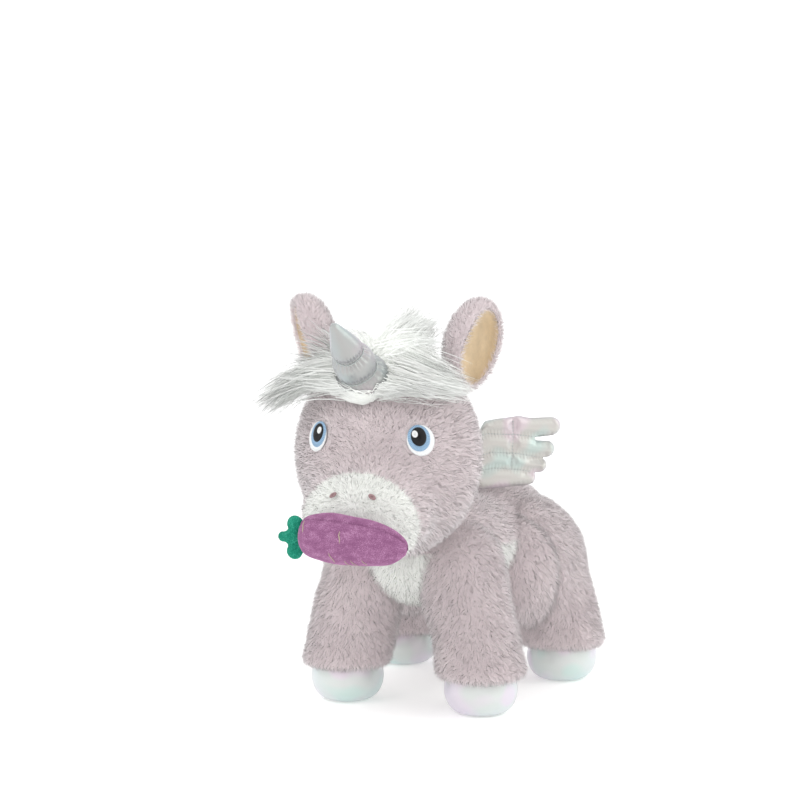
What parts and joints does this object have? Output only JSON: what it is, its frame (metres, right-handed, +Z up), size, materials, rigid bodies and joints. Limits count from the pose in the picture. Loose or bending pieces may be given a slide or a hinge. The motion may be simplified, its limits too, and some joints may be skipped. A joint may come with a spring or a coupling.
{
  "type": "plush winged unicorn",
  "caption": "Standing plush winged unicorn with a stuffed horn, pearl hooves and a magnetic plush carrot held at its mouth.",
  "frame": {"origin": "centre of the bounding box in plan, on the floor under the soles", "axes": "+Z up, the face looks along -Y, the animal's left side is +X"},
  "size_m": [0.241, 0.4493, 0.3796],
  "materials": {
    "filling": "matt hollow fibre",
    "magnet": "plated disc",
    "white_fur": "short faux fur",
    "long_white_fur": "long faux fur",
    "pearl_satin": "pearl iridescent",
    "wing_satin": "pearl iridescent, quilted",
    "horn_satin": "pearl iridescent",
    "thread": "twisted thread",
    "cream_satin": "brushed satin",
    "white_thread": "embroidered",
    "blue_thread": "embroidered",
    "black_thread": "embroidered",
    "mauve_thread": "embroidered",
    "purple_velvet": "short pile velvet",
    "teal_velour": "short pile velour",
    "olive_thread": "embroidered",
    "mauve_fur": "short dense faux fur"
  },
  "bodies": {
    "trunk": {"trunk_cover": "mauve_fur", "belly_panel": "white_fur", "trunk_filling": "filling"},
    "head": {"head_cover": "mauve_fur", "muzzle_panel": "white_fur", "head_filling": "filling", "muzzle_magnet": "magnet", "nostrils": "mauve_thread", "horn_cover": "horn_satin", "horn_filling": "filling", "horn_thread": "thread", "forelock": "long_white_fur", "mane": "long_white_fur", "left_eye_white": "white_thread", "left_iris": "blue_thread", "left_pupil": "black_thread", "left_glint": "white_thread", "right_eye_white": "white_thread", "right_iris": "blue_thread", "right_pupil": "black_thread", "right_glint": "white_thread"},
    "left_ear": {"left_ear_back": "mauve_fur", "left_ear_lining": "cream_satin"},
    "right_ear": {"right_ear_back": "mauve_fur", "right_ear_lining": "cream_satin"},
    "left_wing": {"left_wing_cover": "wing_satin", "left_wing_padding": "filling"},
    "right_wing": {"right_wing_cover": "wing_satin", "right_wing_padding": "filling"},
    "tail": {"tail": "long_white_fur"},
    "carrot": {"carrot_cover": "purple_velvet", "carrot_filling": "filling", "carrot_leaves": "teal_velour", "carrot_stitches": "olive_thread", "carrot_magnet": "magnet"},
    "front_left_leg": {"front_left_leg_cover": "mauve_fur", "front_left_leg_filling": "filling", "front_left_hoof_cover": "pearl_satin", "front_left_hoof_filling": "filling"},
    "front_right_leg": {"front_right_leg_cover": "mauve_fur", "front_right_leg_filling": "filling", "front_right_hoof_cover": "pearl_satin", "front_right_hoof_filling": "filling"},
    "rear_left_leg": {"rear_left_leg_cover": "mauve_fur", "rear_left_leg_filling": "filling", "rear_left_hoof_cover": "pearl_satin", "rear_left_hoof_filling": "filling"},
    "rear_right_leg": {"rear_right_leg_cover": "mauve_fur", "rear_right_leg_filling": "filling", "rear_right_hoof_cover": "pearl_satin", "rear_right_hoof_filling": "filling"}
  },
  "joints": [
    {"name": "head_nod", "type": "hinge", "parent": "trunk", "child": "head", "pos_m": [0, -0.0384, 0.19], "axis": [0.9925, 0.1219, 0], "range_deg": [-12, 12], "stiffness_Nm_per_rad": 9},
    {"name": "front_left_leg_swing", "type": "hinge", "parent": "trunk", "child": "front_left_leg", "pos_m": [0.047, -0.0184, 0.136], "axis": [1, 0, 0], "range_deg": [-14, 14], "stiffness_Nm_per_rad": 6},
    {"name": "rear_left_leg_swing", "type": "hinge", "parent": "trunk", "child": "rear_left_leg", "pos_m": [0.057, 0.1396, 0.124], "axis": [1, 0, 0], "range_deg": [-14, 14], "stiffness_Nm_per_rad": 6},
    {"name": "left_ear_flop", "type": "hinge", "parent": "head", "child": "left_ear", "pos_m": [0.06643, -0.06248, 0.304], "axis": [0.2134, 0.9729, -0.0885], "range_deg": [-15, 15], "stiffness_Nm_per_rad": 0.12},
    {"name": "left_wing_flap", "type": "hinge", "parent": "trunk", "child": "left_wing", "pos_m": [0.02, 0.0336, 0.196], "axis": [0, 1, 0], "range_deg": [-20, 8], "stiffness_Nm_per_rad": 0.12},
    {"name": "front_right_leg_swing", "type": "hinge", "parent": "trunk", "child": "front_right_leg", "pos_m": [-0.047, -0.0184, 0.136], "axis": [1, 0, 0], "range_deg": [-14, 14], "stiffness_Nm_per_rad": 6},
    {"name": "rear_right_leg_swing", "type": "hinge", "parent": "trunk", "child": "rear_right_leg", "pos_m": [-0.057, 0.1396, 0.124], "axis": [1, 0, 0], "range_deg": [-14, 14], "stiffness_Nm_per_rad": 6},
    {"name": "right_ear_flop", "type": "hinge", "parent": "head", "child": "right_ear", "pos_m": [-0.05863, -0.07784, 0.304], "axis": [0.4424, -0.8924, 0.0885], "range_deg": [-15, 15], "stiffness_Nm_per_rad": 0.12},
    {"name": "right_wing_flap", "type": "hinge", "parent": "trunk", "child": "right_wing", "pos_m": [-0.02, 0.0336, 0.196], "axis": [0, -1, 0], "range_deg": [-20, 8], "stiffness_Nm_per_rad": 0.12},
    {"name": "tail_wag", "type": "hinge", "parent": "trunk", "child": "tail", "pos_m": [0, 0.1876, 0.166], "axis": [0, 1, 0], "range_deg": [-20, 20], "stiffness_Nm_per_rad": 0.1},
    {"name": "carrot_pull", "type": "slide", "parent": "head", "child": "carrot", "axis": [0.1219, -0.9925, 0], "range_m": [0, 0.06]}
  ]
}
